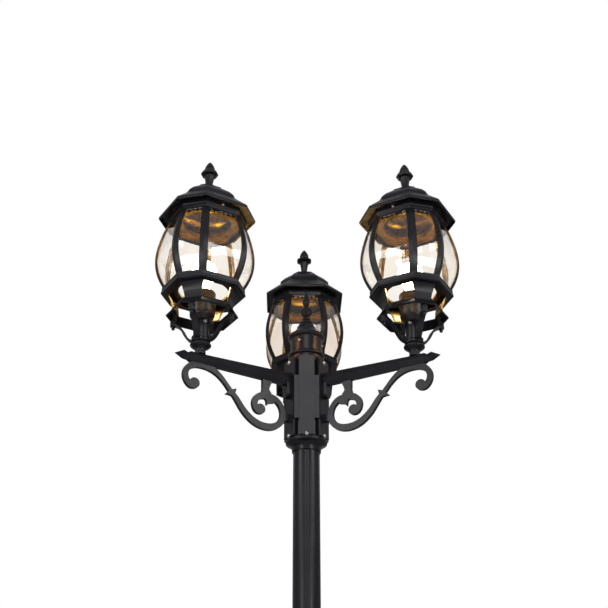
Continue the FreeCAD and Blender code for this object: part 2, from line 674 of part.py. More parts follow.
def cage_shape():
    """Eight ribs between a foot ring and a neck that the roof slips over."""
    rib = Part.makeLoft([rib_section(*point) for point in RIB_CURVE], True, False)
    mirrored = rib.mirror(Vector(0, 0, 0), Vector(0, 1, 0))
    ribs = []
    for quarter in range(4):
        for one in (rib, mirrored):
            turned_rib = one.copy()
            turned_rib.rotate(Vector(0, 0, 0), Vector(0, 0, 1), 90 * quarter)
            ribs.append(turned_rib)
    low = RIB_CURVE[0][1]
    ring = stack([(93.5, low), (95, low + 3)]).cut(stack([(84, low - 1), (84, low + 4)]))
    top = s.rib_top_z.value
    sill = s.band_top.value
    neck_r = s.neck_r.value
    band_ring = stack([(91.5, top - 4.5), (90.5, top), (91.5, sill), (neck_r, sill),
                       (neck_r, s.neck_top.value)])
    ledge = s.ledge_z.value
    band_ring = band_ring.cut(stack([(84, ledge), (84, s.neck_top.value + 1)]))
    band_ring = band_ring.cut(stack([(79, top - 6), (79, ledge + 1)]))
    made = fused(ribs + [ring, band_ring])
    return max(made.Solids, key=lambda piece: piece.Volume)


def pane_section(radius, z, short):
    """A level cut through one pane, behind the ribs and clear of its neighbours."""
    a = math.radians(18 if short else 27)
    face = radius * math.cos(a) - s.rib_thick.value - s.slack.value
    back = face - s.pane_thick.value
    half = radius * math.sin(a) - 3.5
    ring = [Vector(face, -half, z), Vector(face, half, z), Vector(back, half, z), Vector(back, -half, z)]
    return Part.makePolygon(ring + ring[:1])


def panes_shape():
    """Eight bent glass panes, one in each side of the cage."""
    low = (RIB_CURVE[0][0] + 1.7, RIB_CURVE[0][1] + 3)
    curve = [low] + list(RIB_CURVE[1:-1]) + [(93.4, s.rib_top_z.value - 5)]
    panes = []
    for side in range(8):
        short = side % 2 == 1
        pane = Part.makeLoft([pane_section(r, z, short) for r, z in curve], True, False)
        pane.rotate(Vector(0, 0, 0), Vector(0, 0, 1), 45 * side)
        panes.append(pane)
    return Part.makeCompound(panes)


def reflector_shape():
    """The gilt plate on the ledge in the cage's neck, with a round eye and a low collar round it."""
    eye = s.eye_r.value
    ledge = s.ledge_z.value
    sheet_metal = stack([(83.7, ledge), (83.7, ledge + 2)])
    collar = rod(eye + 2.5, ledge + 2, ledge + 10)
    return sheet_metal.fuse(collar).removeSplitter().cut(rod(eye, ledge - 5, ledge + 15))


def roof_shape():
    """The tiered roof casting: skirt, soffit, eave, slope, upstand and crown, hollow inside."""
    wall = s.roof_wall.value
    r, z, top = s.eave_r.value, s.eave_z.value, s.roof_top.value
    outer = [(r - 1, z), (r, z + 1.5), (r, z + 7), (77, z + 40, 28), (74.5, z + 42, 28), (73, z + 51, 28),
             (61, z + 64, 28.5), (36, z + 83, 29), (35, z + 86, 29), (26, top - 2, 29), (25, top, 29)]
    soffit = z + 7.5
    inner = [(106, soffit + wall), (77 - wall, z + 37, 28), (70.5, z + 48, 28),
             (59, z + 61, 28.5), (34, z + 80, 29), (22, z + 84, 29)]
    recess = stack([(r - wall, z - 1), (r - wall - 1.5, soffit)]).cut(
        stack([(s.skirt_r.value, z - 2), (s.skirt_r.value, soffit + 1)]))
    skirt = stack([(s.skirt_r.value - 1.5, s.skirt_low.value), (s.skirt_r.value, s.skirt_low.value + 3),
                   (s.skirt_r.value, soffit + 1)])
    made = fused([stack(outer).cut(recess).cut(stack(inner)), skirt])
    made = made.cut(stack([(s.skirt_in.value, s.skirt_low.value - 1), (s.skirt_in.value, soffit + wall + 1)]))
    for degrees in (90, 270):
        made = made.cut(cross_rod(1.7, 70, 90, degrees, s.roof_screw_z.value))
    return max(made.Solids, key=lambda piece: piece.Volume)


def finial_shape():
    """The cast finial: swelling stem, sharp eight-sided collar and acorn tip."""
    top, tip = s.roof_top.value, s.finial_tip.value
    stem = [(8.8, top), (8.4, top + 6), (9.3, top + 20), (11.8, top + 35), (13, top + 38)]
    collar = [(13, top + 38), (20.3, top + 42), (21.3, top + 44.5), (20.3, top + 48), (13, top + 53)]
    acorn_line = Part.BSplineCurve()
    acorn_line.interpolate([Vector(10.5, 0, top + 52), Vector(12.2, 0, top + 59), Vector(9.5, 0, top + 68),
                            Vector(4.2, 0, tip - 4), Vector(0, 0, tip)])
    acorn = Part.Wire([acorn_line.toShape(), Part.makeLine(Vector(0, 0, tip), Vector(0, 0, top + 52)),
                       Part.makeLine(Vector(0, 0, top + 52), Vector(10.5, 0, top + 52))])
    bud = Part.Face(acorn).revolve(Vector(0, 0, 0), Vector(0, 0, 1), 360)
    even = 22.5
    rings = [(r, z, even) for r, z in stem + collar[1:]]
    return fused([stack(rings), Part.Solid(bud.Shells[0]) if bud.ShapeType != "Solid" else bud])


def make_holder(name, frame):
    """The lampholder: a cup on the stem, a threaded shade ring on it and the screw shell inside."""
    r = s.holder_r
    z = s.stem_top
    top = s.holder_top
    turned("lampholder_" + name, [
        (0, z), (s.stem_r, z), (r - 1, z + 9, -30), (r, z + 12), (r, top - 31), (r + 1.5, top - 30),
        (r + 1.5, top - 27), (r + 0.2, top - 26.5), (r + 0.2, top - 25), (r + 1.5, top - 24.5),
        (r + 1.5, top - 21.5), (r, top - 20.5), (r, top - 3), (r - 1.5, top - 0.5, -3), (r - 3, top),
        (24, top), (24, top - 8), (s.socket_r, top - 8), (s.socket_r, top - 36), (0, top - 36)], frame)


def make_bulb(name, frame):
    """A plain pear-shaped lamp: glass envelope and screw cap."""
    r = s.bulb_r
    z = s.bulb_z
    top = s.holder_top
    base = turned("bulb_cap_" + name, [
        (0, top - 35), (5, top - 35), (9, top - 31), (s.cap_r, top - 30), (s.cap_r, top - 4), (12.6, top - 2),
        (12.6, top), (0, top)], frame)
    glass = turned("bulb_" + name, [
        (0, top), (12.6, top), (14, top + 8), (18, top + 19, -60), (r - 1.2, z - 9, -34), (r, z, -r.value),
        (0, z + r)], frame)
    return base, glass


# A finial is screwed on, so each one stops at its own turn, in degrees past its arm.
FINIAL_TURNS = {"left": 7.5, "right": 22.5, "back": 0}


def make_lanterns():
    gallery = gallery_shape()
    spider = spider_shape(gallery)
    cage = cage_shape()
    panes = panes_shape()
    reflector = reflector_shape()
    roof = roof_shape()
    finial = finial_shape()
    nuts = []
    nut_r = s.nut_r.value
    nut_z = s.boss_low.value - nut_r
    for i in range(4):
        at = turn(45 + 90 * i).multVec(Vector(s.boss_at.value, 0, 0))
        nut = rod(nut_r, nut_z, s.boss_low.value, at.x, at.y)
        nuts.append(nut.fuse(Part.makeSphere(nut_r, Vector(at.x, at.y, nut_z))).removeSplitter())
    flat_at = math.cos(math.radians(27))
    face = s.skirt_r.value * flat_at
    reach_in = face - s.neck_r.value * flat_at - s.slack.value
    roof_screws = [dome_screw(3.6, 2.4, 1.5, reach_in, degrees, face, s.roof_screw_z.value)
                   for degrees in (90, 270)]
    holder_screws = [dome_screw(5, 4.2, 2.5, 4, degrees, s.stem_r.value, s.stem_top.value - 8)
                     for degrees in (90, 270)]
    for name, degrees in ARMS.items():
        frame = lantern_frame(degrees)
        make_stem(name, frame)
        solid("spider_" + name, spider.copy(), frame)
        solid("leg_nuts_" + name, Part.makeCompound(nuts).copy(), frame)
        solid("gallery_" + name, gallery.copy(), frame)
        solid("cage_" + name, cage.copy(), frame)
        solid("panes_" + name, panes.copy(), frame)
        solid("reflector_" + name, reflector.copy(), frame)
        solid("roof_" + name, roof.copy(), frame)
        solid("roof_screws_" + name, Part.makeCompound(roof_screws).copy(), frame)
        screwed_home = finial.copy()
        screwed_home.rotate(Vector(0, 0, 0), Vector(0, 0, 1), FINIAL_TURNS[name])
        solid("finial_" + name, screwed_home, frame)
        solid("holder_screws_" + name, Part.makeCompound(holder_screws).copy(), frame)
        make_holder(name, frame)
        make_bulb(name, frame)


def make_leads():
    """The three leads, hidden all the way from the terminals to the lampholders."""
    lead = lead_shape()
    leads = []
    for degrees in ARMS.values():
        one = lead.copy()
        one.rotate(Vector(0, 0, 0), Vector(0, 0, 1), degrees)
        leads.append(one)
    solid("leads", Part.makeCompound(leads), post_frame())


# ---------------------------------------------------------------- build, check and write
make_foot()
make_pole()
make_hub()
make_hub_cap()
make_hub_hardware()
make_arms()
make_leads()
make_lanterns()
doc.recompute()

for thing in doc.Objects:
    if "Invalid" in thing.State or "Error" in thing.State:
        raise RuntimeError("%s failed: %s" % (thing.Label, thing.State))
os.makedirs("parts", exist_ok=True)
for node in nodes:
    shape = node.Shape
    if shape.isNull() or not shape.isValid() or not shape.Solids:
        raise RuntimeError(node.Label + " has no valid solid")
for node in nodes:
    node.Shape.exportStep("parts/%s.step" % node.Label)
    print("%-22s %2d solids %9.0f mm3" % (node.Label, len(node.Shape.Solids), node.Shape.Volume))
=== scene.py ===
# %% [markdown]
# # A three-headed garden lamp post
# The construction comes ready made, in metres, with Z up and the foot's middle at the origin.
# This lesson gives it a camera, light and finishes, and models the small things that only the
# eye asks for: screw heads, ribbed nuts, pane teeth, seals and the glass of the bulbs.

# %% Load the frame
import math

import bpy
import numpy as np
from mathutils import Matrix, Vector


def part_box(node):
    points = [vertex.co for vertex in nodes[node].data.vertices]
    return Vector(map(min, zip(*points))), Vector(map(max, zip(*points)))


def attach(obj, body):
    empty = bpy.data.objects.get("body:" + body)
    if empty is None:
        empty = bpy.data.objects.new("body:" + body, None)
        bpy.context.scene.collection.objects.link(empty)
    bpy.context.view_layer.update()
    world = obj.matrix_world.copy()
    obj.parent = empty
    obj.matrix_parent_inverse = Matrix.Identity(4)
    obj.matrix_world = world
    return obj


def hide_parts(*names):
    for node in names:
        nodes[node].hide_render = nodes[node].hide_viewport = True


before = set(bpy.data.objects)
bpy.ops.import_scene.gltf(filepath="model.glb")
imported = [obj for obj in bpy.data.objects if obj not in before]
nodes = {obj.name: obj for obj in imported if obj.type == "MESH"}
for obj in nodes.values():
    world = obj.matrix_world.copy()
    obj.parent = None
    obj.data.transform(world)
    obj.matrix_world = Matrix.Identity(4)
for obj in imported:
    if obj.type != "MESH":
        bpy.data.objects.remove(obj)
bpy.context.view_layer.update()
scene = bpy.context.scene
MM = 0.001

# %% [markdown]
# ## Where things are
# Three lanterns stand on three arms, 120 degrees apart. Everything on a lantern is easiest to
# say in the lantern's own directions: out along its arm, across it, and up from the arm's top.
# The axis of each lantern is read from the box of its finial, so nothing is fitted by eye, and
# one function turns the lantern's own directions into the scene's. It works on whole arrays of
# points at once, so a piece is written once and made three times.

# %% Lanterns and their axes
SIDES = ("left", "right", "back")


def middle(node):
    """The middle of a node's box."""
    low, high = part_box(node)
    return (np.array(low) + np.array(high)) / 2


ARM_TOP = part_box("stem_back")[0][2]
AXES = {side: middle("finial_" + side)[:2] for side in SIDES}
for side in SIDES:
    print(side, "lantern axis at", np.round(AXES[side], 4), "arm top at", round(ARM_TOP, 4))


def to_row(side, points):
    """Points given as (out, across, up) in mm from a lantern's foot, turned and moved into metres."""
    points = np.asarray(points, float) * MM
    x, y = AXES[side]
    out = np.array([x, y]) / math.hypot(x, y)
    across = np.array([-out[1], out[0]])
    plan = points[..., :1] * out + points[..., 1:2] * across + AXES[side]
    return np.concatenate([plan, points[..., 2:] + ARM_TOP], axis=-1)


# %% [markdown]
# ## The camera
# The photograph was taken from about 2.2 m away with the lens at table height, looking up at the
# lanterns, so every ledge is seen from below. A camera could be moved about until the picture
# looks right, but a slip in its distance then hides in the lens. Here place, tilt and focal
# length were solved together from the corners of both front lanterns.

# %% Camera
CAMERA_AT = (-0.0457, -2.1817, 0.7477)
CAMERA_TURN = (90 + 28.10, 0, -1.055)
CAMERA_LENS = 60.26
SENSOR_WIDTH = 36

camera = bpy.data.objects.new("camera", bpy.data.cameras.new("camera"))
camera.location = CAMERA_AT
camera.rotation_euler = [math.radians(angle) for angle in CAMERA_TURN]
camera.data.lens = CAMERA_LENS
camera.data.sensor_width = SENSOR_WIDTH
scene.collection.objects.link(camera)
scene.camera = camera
print("camera at", CAMERA_AT, "looking", round(CAMERA_TURN[0] - 90, 1), "degrees up")


# %% [markdown]
# ## Colours
# A colour picked on a screen is an sRGB hex value, but shaders add light linearly. One function
# turns the first into the second, and every hex value below goes through it. Materials are made
# of nodes; three small helpers keep a node, its settings and its links on one line.

# %% Colour and node helpers
def linear(code):
    """An sRGB hex colour as linear RGBA, by the sRGB standard's own formula."""
    channels = [int(code[i:i + 2], 16) / 255 for i in (1, 3, 5)]
    return [c / 12.92 if c <= 0.04045 else ((c + 0.055) / 1.055) ** 2.4 for c in channels] + [1.0]


def add_node(tree, kind, links=None, settings=None, **values):
    """Adds a node, sets its properties and sockets, and links other sockets into it.

    A socket is named by its name, with _ for a space, or by _ and its number.
    """
    made = tree.nodes.new(kind)
    for name, value in (settings or {}).items():
        setattr(made, name, value)
    for name, value in values.items():
        made.inputs[int(name[1:]) if name[0] == "_" else name.replace("_", " ")].default_value = value
    for name, source in (links or {}).items():
        tree.links.new(source, made.inputs[name])
    return made


def maths(tree, operation, first, second):
    """One sum on sockets or plain numbers."""
    links = {i: value for i, value in enumerate((first, second)) if not isinstance(value, (int, float))}
    made = add_node(tree, "ShaderNodeMath", links, {"operation": operation})
    for i, value in enumerate((first, second)):
        if i not in links:
            made.inputs[i].default_value = value
    return made.outputs[0]


def new_material(name):
    """A material with a Principled BSDF, and with object coordinates at hand.

    No node is moved, so object coordinates are also the scene's coordinates, in metres.
    """
    material = bpy.data.materials.new(name)
    material.use_nodes = True
    tree = material.node_tree
    shader = tree.nodes["Principled BSDF"]
    place = add_node(tree, "ShaderNodeTexCoord").outputs["Object"]
    return material, tree, shader, place


# %% [markdown]
# ## Sky
# The photograph is a cut-out on pure white. A white sky bright enough for that would light the
# post as well and wash its black coat out. So the world asks what kind of ray looks at it: it is
# white to the camera and to rays through glass, about a third as bright in reflections, where
# metal and gloss show it, and dim as a lamp.

# %% World
AMBIENT = 0.12
MIRRORED = 0.3

world = bpy.data.worlds.new("studio")
scene.world = world
world.use_nodes = True
sky = world.node_tree
sky.nodes.clear()
seen = add_node(sky, "ShaderNodeLightPath")
mirrored = maths(sky, "MULTIPLY", seen.outputs["Is Glossy Ray"], MIRRORED)
mirrored = maths(sky, "MAXIMUM", seen.outputs["Is Transmission Ray"], mirrored)
shown = maths(sky, "MAXIMUM", seen.outputs["Is Camera Ray"], mirrored)
ambient = add_node(sky, "ShaderNodeBackground", Color=linear("#f4f6fa"), Strength=AMBIENT)
backdrop = add_node(sky, "ShaderNodeBackground", Color=(1, 1, 1, 1), Strength=1.0)
chosen = add_node(sky, "ShaderNodeMixShader", {0: shown, 1: ambient.outputs[0], 2: backdrop.outputs[0]})
add_node(sky, "ShaderNodeOutputWorld", {0: chosen.outputs[0]})
scene.view_settings.view_transform = "Standard"

# %% [markdown]
# ## Floor
# The post stands on a plain pale sheet. It lies below the picture, but it sends a little light
# up under the arms, and the views from other sides show it. One square face is enough for it.

# %% Floor
FLOOR_HALF = 6.0
floor_mesh = bpy.data.meshes.new("floor")
corners = [(x * FLOOR_HALF, y * FLOOR_HALF, 0) for x, y in ((-1, -1), (1, -1), (1, 1), (-1, 1))]
floor_mesh.from_pydata(corners, [], [(0, 1, 2, 3)])
floor = bpy.data.objects.new("floor", floor_mesh)
scene.collection.objects.link(floor)
paper, _, shader, _ = new_material("matt_paper_sweep")
shader.inputs["Base Color"].default_value = linear("#e9e9e8")
shader.inputs["Roughness"].default_value = 0.9
floor_mesh.materials.append(paper)
print("floor", 2 * FLOOR_HALF, "m wide")

# %% [markdown]
# ## Lamps
# A black coat is shown by what it mirrors, not by its own colour. Three boxes stand in front,
# where upright faces mirror them down to the low lens: those faces go grey, and roofs stay
# black. Two lower ones do the same for faces that lean down. Two small warm lamps stand for the
# bulbs' light on the hub's cap: the lit bulbs would do it alone, but light through bent glass
# takes very long to find its way.


# %% Lamps
def soft_box(name, at, aim, width, height, power, colour="#ffffff"):
    """A rectangular studio lamp that points at a spot; sizes in metres, power in watts."""
    lamp = bpy.data.lights.new(name, "AREA")
    lamp.shape = "RECTANGLE"
    lamp.size = width
    lamp.size_y = height
    lamp.energy = power
    lamp.color = linear(colour)[:3]
    holder = bpy.data.objects.new(name, lamp)
    holder.location = at
    way = np.array(aim, float) - np.array(at, float)
    holder.rotation_euler = (math.atan2(math.hypot(way[0], way[1]), -way[2]), 0,
                             math.atan2(way[1], way[0]) - math.pi / 2)
    scene.collection.objects.link(holder)
    return holder


HEADS_AT = (0, 0, 1.8)
BOX_TALL = 0.8
BOX_POWER = 24
soft_box("front_box", (-0.1, -2.8, 2.9), HEADS_AT, 1.5, BOX_TALL, BOX_POWER)
soft_box("left_box", (-2.4, -1.6, 2.8), HEADS_AT, 1.2, BOX_TALL, BOX_POWER)
soft_box("right_box", (2.4, -1.6, 2.8), HEADS_AT, 1.2, BOX_TALL, BOX_POWER)

GLOW_PLACE = 0.42
GLOW_UP = 0.1
CAP_UP = 0.09
GLOW_SIZE = (0.05, 0.06)
GLOW_POWER = 0.06
for side, sign in (("left", -1), ("right", 1)):
    soft_box("low_box_" + side, (sign * 2.0, -2.6, 1.45), HEADS_AT, 0.8, BOX_TALL, BOX_POWER)
    x, y = AXES[side] * GLOW_PLACE
    soft_box("glow_from_" + side, (x, y, ARM_TOP + GLOW_UP), (0, 0, ARM_TOP + CAP_UP), *GLOW_SIZE,
             GLOW_POWER, "#ff9a55")
print(len(bpy.data.lights), "lamps")

# %% [markdown]
# ## Black powder coat
# The castings and the tube are aluminium under a satin black polyester powder coat, baked on.
# Powder never flows quite flat: it leaves an orange peel of about a millimetre. A picture of it
# could be wrapped round each piece, but noise in space has no seams and fits every casting. It
# is drawn at 1.6 mm so that it shows, with cloudy changes of gloss a hand's breadth wide.

# %% Powder coat
COAT_IOR = 1.5
COAT_SHINE = 0.2
COAT_ROUGH = (0.28, 0.36)
PEEL_SIZE = 1.6
PEEL_HEIGHT = 0.05
PEEL_STRENGTH = 0.6
CLOUD_SIZE = 90.0


def noise(tree, place, size_mm, detail=2.0, rough=0.5):
    """Noise from nought to one, whose blobs are about size_mm across."""
    made = add_node(tree, "ShaderNodeTexNoise", {"Vector": place}, Scale=1 / (size_mm * MM),
                    Detail=detail, Roughness=rough)
    return made.outputs["Fac"]


def ramp(tree, source, stops):
    """A colour ramp through (place, hex) stops."""
    made = add_node(tree, "ShaderNodeValToRGB", {"Fac": source})
    ends = made.color_ramp.elements
    ends[0].position, ends[0].color = stops[0][0], linear(stops[0][1])
    ends[1].position, ends[1].color = stops[-1][0], linear(stops[-1][1])
    for where, code in stops[1:-1]:
        ends.new(where).color = linear(code)
    return made.outputs["Color"]


def span(tree, source, low, high, from_low=0.3, from_high=0.7):
    """A number stretched to lie between low and high.

    Noise seldom leaves 0.3 to 0.7, so that is what it is stretched from, unless told otherwise.
    """
    made = add_node(tree, "ShaderNodeMapRange", {"Value": source}, From_Min=from_low,
                    From_Max=from_high, To_Min=low, To_Max=high)
    return made.outputs["Result"]


def bump(tree, source, height_mm, strength):
    """Turns a pattern into a bump of that height."""
    made = add_node(tree, "ShaderNodeBump", {"Height": source}, Strength=strength,
                    Distance=height_mm * MM)
    return made.outputs["Normal"]


def coat_pattern(tree, place):
    """Colour and roughness of the black coat."""
    cloud = noise(tree, place, CLOUD_SIZE, 3.0)
    colour = ramp(tree, cloud, ((0.3, "#121216"), (0.7, "#1b1b20")))
    return colour, span(tree, cloud, *COAT_ROUGH)


def coat_surface(tree, shader, place, colour, gloss):
    """Puts colour and roughness on a shader, with the coat's orange peel and shine."""
    peel = noise(tree, place, PEEL_SIZE, 1.0)
    tree.links.new(colour, shader.inputs["Base Color"])
    tree.links.new(gloss, shader.inputs["Roughness"])
    tree.links.new(bump(tree, peel, PEEL_HEIGHT, PEEL_STRENGTH), shader.inputs["Normal"])
    shader.inputs["IOR"].default_value = COAT_IOR
    shader.inputs["Specular IOR Level"].default_value = COAT_SHINE


def powder_coat():
    """Satin black polyester powder on cast aluminium: dark, even, with a soft wide highlight."""
    material, tree, shader, place = new_material("satin_black_powder_coat")
    coat_surface(tree, shader, place, *coat_pattern(tree, place))
    return material


coat = powder_coat()
print("made", coat.name)

# %% [markdown]
# ## Gold inside the lanterns
# The insides of the lanterns were sprayed gold before the black, so on those castings the
# faces that look at the lantern's axis are gold. They could be picked face by face, but the
# shader can tell them itself: the dot product of the face's direction with the direction away
# from the axis is negative there, and a noise roughens the line between. The gallery's ring
# hangs below the spray and stays black. In the roofs the gold stops at the cage's neck; outside
# it, under the eaves of the two front lanterns, a matt brown gold is painted light on the side
# of the post only, and the far side is left black as painted shade.

# %% Gold, and the coat that is gold inside
GOLD = ("#7c5517", "#a8771f", "#c9952f", "#e0b458")
PALE_GOLD = ("#80653c", "#a88a54", "#c8a86c", "#e2c894")
GOLD_STOPS = (0.30, 0.46, 0.62, 0.75)
GOLD_ROUGH = (0.42, 0.24)
BLOTCH_SIZE = 16.0
SPRAY_SIZE = 3.0
SPRAY_STRAY = 0.08
FACING_EDGE = (-0.32, -0.22)
CEILING_EDGE = (-0.9, -0.8)
POSTWARD_EDGE = (0.2, 0.5)
GALLERY_GILT = (0.113, 0.118)
CAGE_GILT = 0.6
HOLLOW_EDGE = (0.083, 0.086)
# How strong the painted light under each lantern's eave is, on the side of the post.
EAVE_PAINTED_LIGHT = {"left": 0.9, "right": 0.9, "back": 0.0}


def step(tree, source, low, high, upside_down=False):
    """Nought below low, one above high; or the other way up."""
    ends = (1.0, 0.0) if upside_down else (0.0, 1.0)
    return span(tree, source, *ends, low, high)


def vectors(tree, operation, first, second):
    """One sum on a vector socket and a socket or a plain vector."""
    links = {0: first} if isinstance(second, tuple) else {0: first, 1: second}
    made = add_node(tree, "ShaderNodeVectorMath", links, {"operation": operation})
    if isinstance(second, tuple):
        made.inputs[1].default_value = second
    return made


def upward(tree, vector):
    """The Z part of a vector: a place's height, or how far a direction points up."""
    return add_node(tree, "ShaderNodeSeparateXYZ", {0: vector}).outputs["Z"]


def mix_colours(tree, share, first, second):
    """Two colours mixed: only the first at nought, only the second at one."""
    made = add_node(tree, "ShaderNodeMix", {0: share, 6: first, 7: second}, {"data_type": "RGBA"})
    return made.outputs[2]


def mix_numbers(tree, share, first, second):
    """The same for two numbers."""
    made = add_node(tree, "ShaderNodeMix", {0: share, 2: first, 3: second}, {"data_type": "FLOAT"})
    return made.outputs[0]


def gold_pattern(tree, place, shades=GOLD):
    """Colour and roughness of the mottled gold lacquer."""
    blotch = noise(tree, place, BLOTCH_SIZE, 4.0, 0.65)
    return ramp(tree, blotch, tuple(zip(GOLD_STOPS, shades))), span(tree, blotch, *GOLD_ROUGH)


def from_axis(tree, place, side):
    """The level direction away from a lantern's axis, and the distance from it."""
    away = vectors(tree, "SUBTRACT", place, (*AXES[side], 0)).outputs[0]
    away = vectors(tree, "MULTIPLY", away, (1, 1, 0)).outputs[0]
    distance = add_node(tree, "ShaderNodeVectorMath", {0: away}, {"operation": "LENGTH"})
    away = add_node(tree, "ShaderNodeVectorMath", {0: away}, {"operation": "NORMALIZE"})
    return away.outputs[0], distance.outputs["Value"]


def roof_gilt(tree, side, away, distance, facing, gilt):
    """How gilt a roof is: its hollow all over, its eave only on the post's side, as painted light."""
    post_way = tuple(-AXES[side] / math.hypot(*AXES[side])) + (0.0,)
    postward = vectors(tree, "DOT_PRODUCT", away, post_way).outputs["Value"]
    # Painted light: the eave is gilt only on the side facing the post; the far side stays black as
    # painted shade.
    eave_painted_light = maths(tree, "MULTIPLY", step(tree, postward, *POSTWARD_EDGE), EAVE_PAINTED_LIGHT[side])
    inside = step(tree, distance, *HOLLOW_EDGE, True)
    ceiling = step(tree, upward(tree, facing), *CEILING_EDGE, True)
    gilt = maths(tree, "MAXIMUM", gilt, ceiling)
    return maths(tree, "MULTIPLY", gilt, maths(tree, "MAXIMUM", eave_painted_light, inside)), inside


def gilt_inside(side, piece):
    """Black powder coat outside and gold lacquer on the faces that look at the lantern's axis."""
    material, tree, shader, place = new_material("powder_coat_gilt_inside_" + piece + "_" + side)
    colour, gloss = coat_pattern(tree, place)
    gold, gold_gloss = gold_pattern(tree, place, PALE_GOLD if piece == "gallery" else GOLD)
    away, distance = from_axis(tree, place, side)
    facing = add_node(tree, "ShaderNodeNewGeometry").outputs["True Normal"]
    outward = vectors(tree, "DOT_PRODUCT", away, facing).outputs["Value"]
    stray = span(tree, noise(tree, place, SPRAY_SIZE), -SPRAY_STRAY, SPRAY_STRAY)
    gilt = step(tree, maths(tree, "ADD", outward, stray), *FACING_EDGE, True)
    if piece == "gallery":
        low, high = GALLERY_GILT
        height = upward(tree, place)
        gilt = maths(tree, "MULTIPLY", gilt, step(tree, height, ARM_TOP + low, ARM_TOP + high))
    if piece == "cage":
        gilt = maths(tree, "MULTIPLY", gilt, CAGE_GILT)
    metal = gilt
    if piece == "roof":
        gilt, inside = roof_gilt(tree, side, away, distance, facing, gilt)
        metal = maths(tree, "MULTIPLY", gilt, inside)
        # The pale gold of the painted light under the eave, on the post side.
        eave_light_colour = gold_pattern(tree, place, PALE_GOLD)[0]
        gold = mix_colours(tree, inside, eave_light_colour, gold)
    coat_surface(tree, shader, place, mix_colours(tree, gilt, colour, gold),
                 mix_numbers(tree, gilt, gloss, gold_gloss))
    tree.links.new(metal, shader.inputs["Metallic"])
    return material


GILT_PIECES = ("gallery", "cage", "roof")
gilt_coats = {(piece, side): gilt_inside(side, piece) for piece in GILT_PIECES for side in SIDES}
print(len(gilt_coats), "castings are gold inside")

# %% [markdown]
# ## Metals
# The reflector plate is aluminium sheet under the same gold lacquer. Screws are zinc-plated
# steel and the bulb caps nickel-plated brass. A plain metal colour would look like paint, so
# each gets blotches of roughness: that is what tells a thin plating or lacquer from plastic.


# %% Metals
SHEET_METAL = 0.7
DENT_SIZE = 22.0
DENT_HEIGHT = 0.5


def gold_sheet():
    """Gold lacquer on aluminium sheet: metallic, mottled and a little uneven."""
    material, tree, shader, place = new_material("gold_lacquered_aluminium")
    gold, gloss = gold_pattern(tree, place)
    dent = noise(tree, place, DENT_SIZE)
    tree.links.new(gold, shader.inputs["Base Color"])
    tree.links.new(gloss, shader.inputs["Roughness"])
    tree.links.new(bump(tree, dent, DENT_HEIGHT, 0.8), shader.inputs["Normal"])
    shader.inputs["Metallic"].default_value = SHEET_METAL
    return material


def plated(name, light, dark, low, high, grain_mm):
    """A thin metal plating: bright, with the grain of the turning under it."""
    material, tree, shader, place = new_material(name)
    grain = noise(tree, place, grain_mm, 3.0)
    tree.links.new(ramp(tree, grain, ((0.3, dark), (0.7, light))), shader.inputs["Base Color"])
    tree.links.new(span(tree, grain, low, high), shader.inputs["Roughness"])
    tree.links.new(bump(tree, grain, 0.04, 0.5), shader.inputs["Normal"])
    shader.inputs["Metallic"].default_value = 1.0
    return material


gold_plate = gold_sheet()
zinc = plated("zinc_plated_steel", "#c9cbce", "#8f9296", 0.22, 0.38, 2.0)
nickel = plated("nickel_plated_brass", "#d8d2c4", "#a79f8c", 0.2, 0.32, 3.0)
print("made", gold_plate.name, zinc.name, nickel.name)

# %% [markdown]
# ## Glass
# The panes are clear glass, slumped over a mould: smooth, a little wavy, and faintly warm. Each
# is a real sheet with two faces, so a Principled BSDF with full transmission bends the light as
# glass does; a see-through shader would be faster but would show no edges and no reflections.
# The IOR is set under soda-lime's 1.52, so that reflections veil the gold inside less. The
# bulbs are opal glass, lit: warm white, and strongest just over the holder.

# %% Glass
PANE_IOR = 1.4
WAVE_SIZE = 40.0
WAVE_HEIGHT = 0.6
BULB_R = 30.0
BULB_Z = 208.0
NECK_R = 12.6
NECK_Z = 155.0
GLOW_AT_NECK = 28.0
GLOW_AT_CROWN = 14.0


def clear_glass(name, tint):
    """Clear glass with a slow waviness from slumping."""
    material, tree, shader, place = new_material(name)
    wave = noise(tree, place, WAVE_SIZE, 1.0)
    tree.links.new(bump(tree, wave, WAVE_HEIGHT, 0.6), shader.inputs["Normal"])
    shader.inputs["Base Color"].default_value = linear(tint)
    shader.inputs["Transmission Weight"].default_value = 1.0
    shader.inputs["Roughness"].default_value = 0.0
    shader.inputs["IOR"].default_value = PANE_IOR
    return material


def lit_opal():
    """Opal glass over a lit lamp: warm white, brightest where the neck widens."""
    material, tree, shader, place = new_material("lit_opal_glass")
    crown = BULB_Z + BULB_R
    rise = step(tree, upward(tree, place), ARM_TOP + NECK_Z * MM, ARM_TOP + crown * MM)
    tree.links.new(ramp(tree, rise, ((0.0, "#ffd59a"), (0.35, "#fff1d8"), (1.0, "#fffaf2"))),
                   shader.inputs["Emission Color"])
    tree.links.new(span(tree, rise, GLOW_AT_NECK, GLOW_AT_CROWN, 0.1, 0.8),
                   shader.inputs["Emission Strength"])
    cloud = noise(tree, place, 20.0, 1.0)
    tree.links.new(ramp(tree, cloud, ((0.3, "#f3efe6"), (0.7, "#faf7f0"))), shader.inputs["Base Color"])
    shader.inputs["Roughness"].default_value = 0.25
    return material


front_glass = clear_glass("slumped_clear_glass", "#fcf8f2")
# Painted shade: the back lantern's panes are the same glass as the front ones, given a darker, warmer
# tint.
back_glass_painted_shade = clear_glass("slumped_glass_painted_shade", "#f5eee6")
pane_glass = {"left": front_glass, "right": front_glass, "back": back_glass_painted_shade}
opal = lit_opal()
print("made", front_glass.name, back_glass_painted_shade.name, opal.name)

# %% [markdown]
# ## Plastics
# The lampholders are moulded from dark brown phenolic, with a brass ring round them; the
# terminal block is nylon, the leads have a PVC sheath and the lanterns' seal is rubber. All are
# one colour with a faint cloud and a fine grain, so one function makes them. The brass ring is
# a band of height on the holder's own shader, because it follows two moulded ridges.


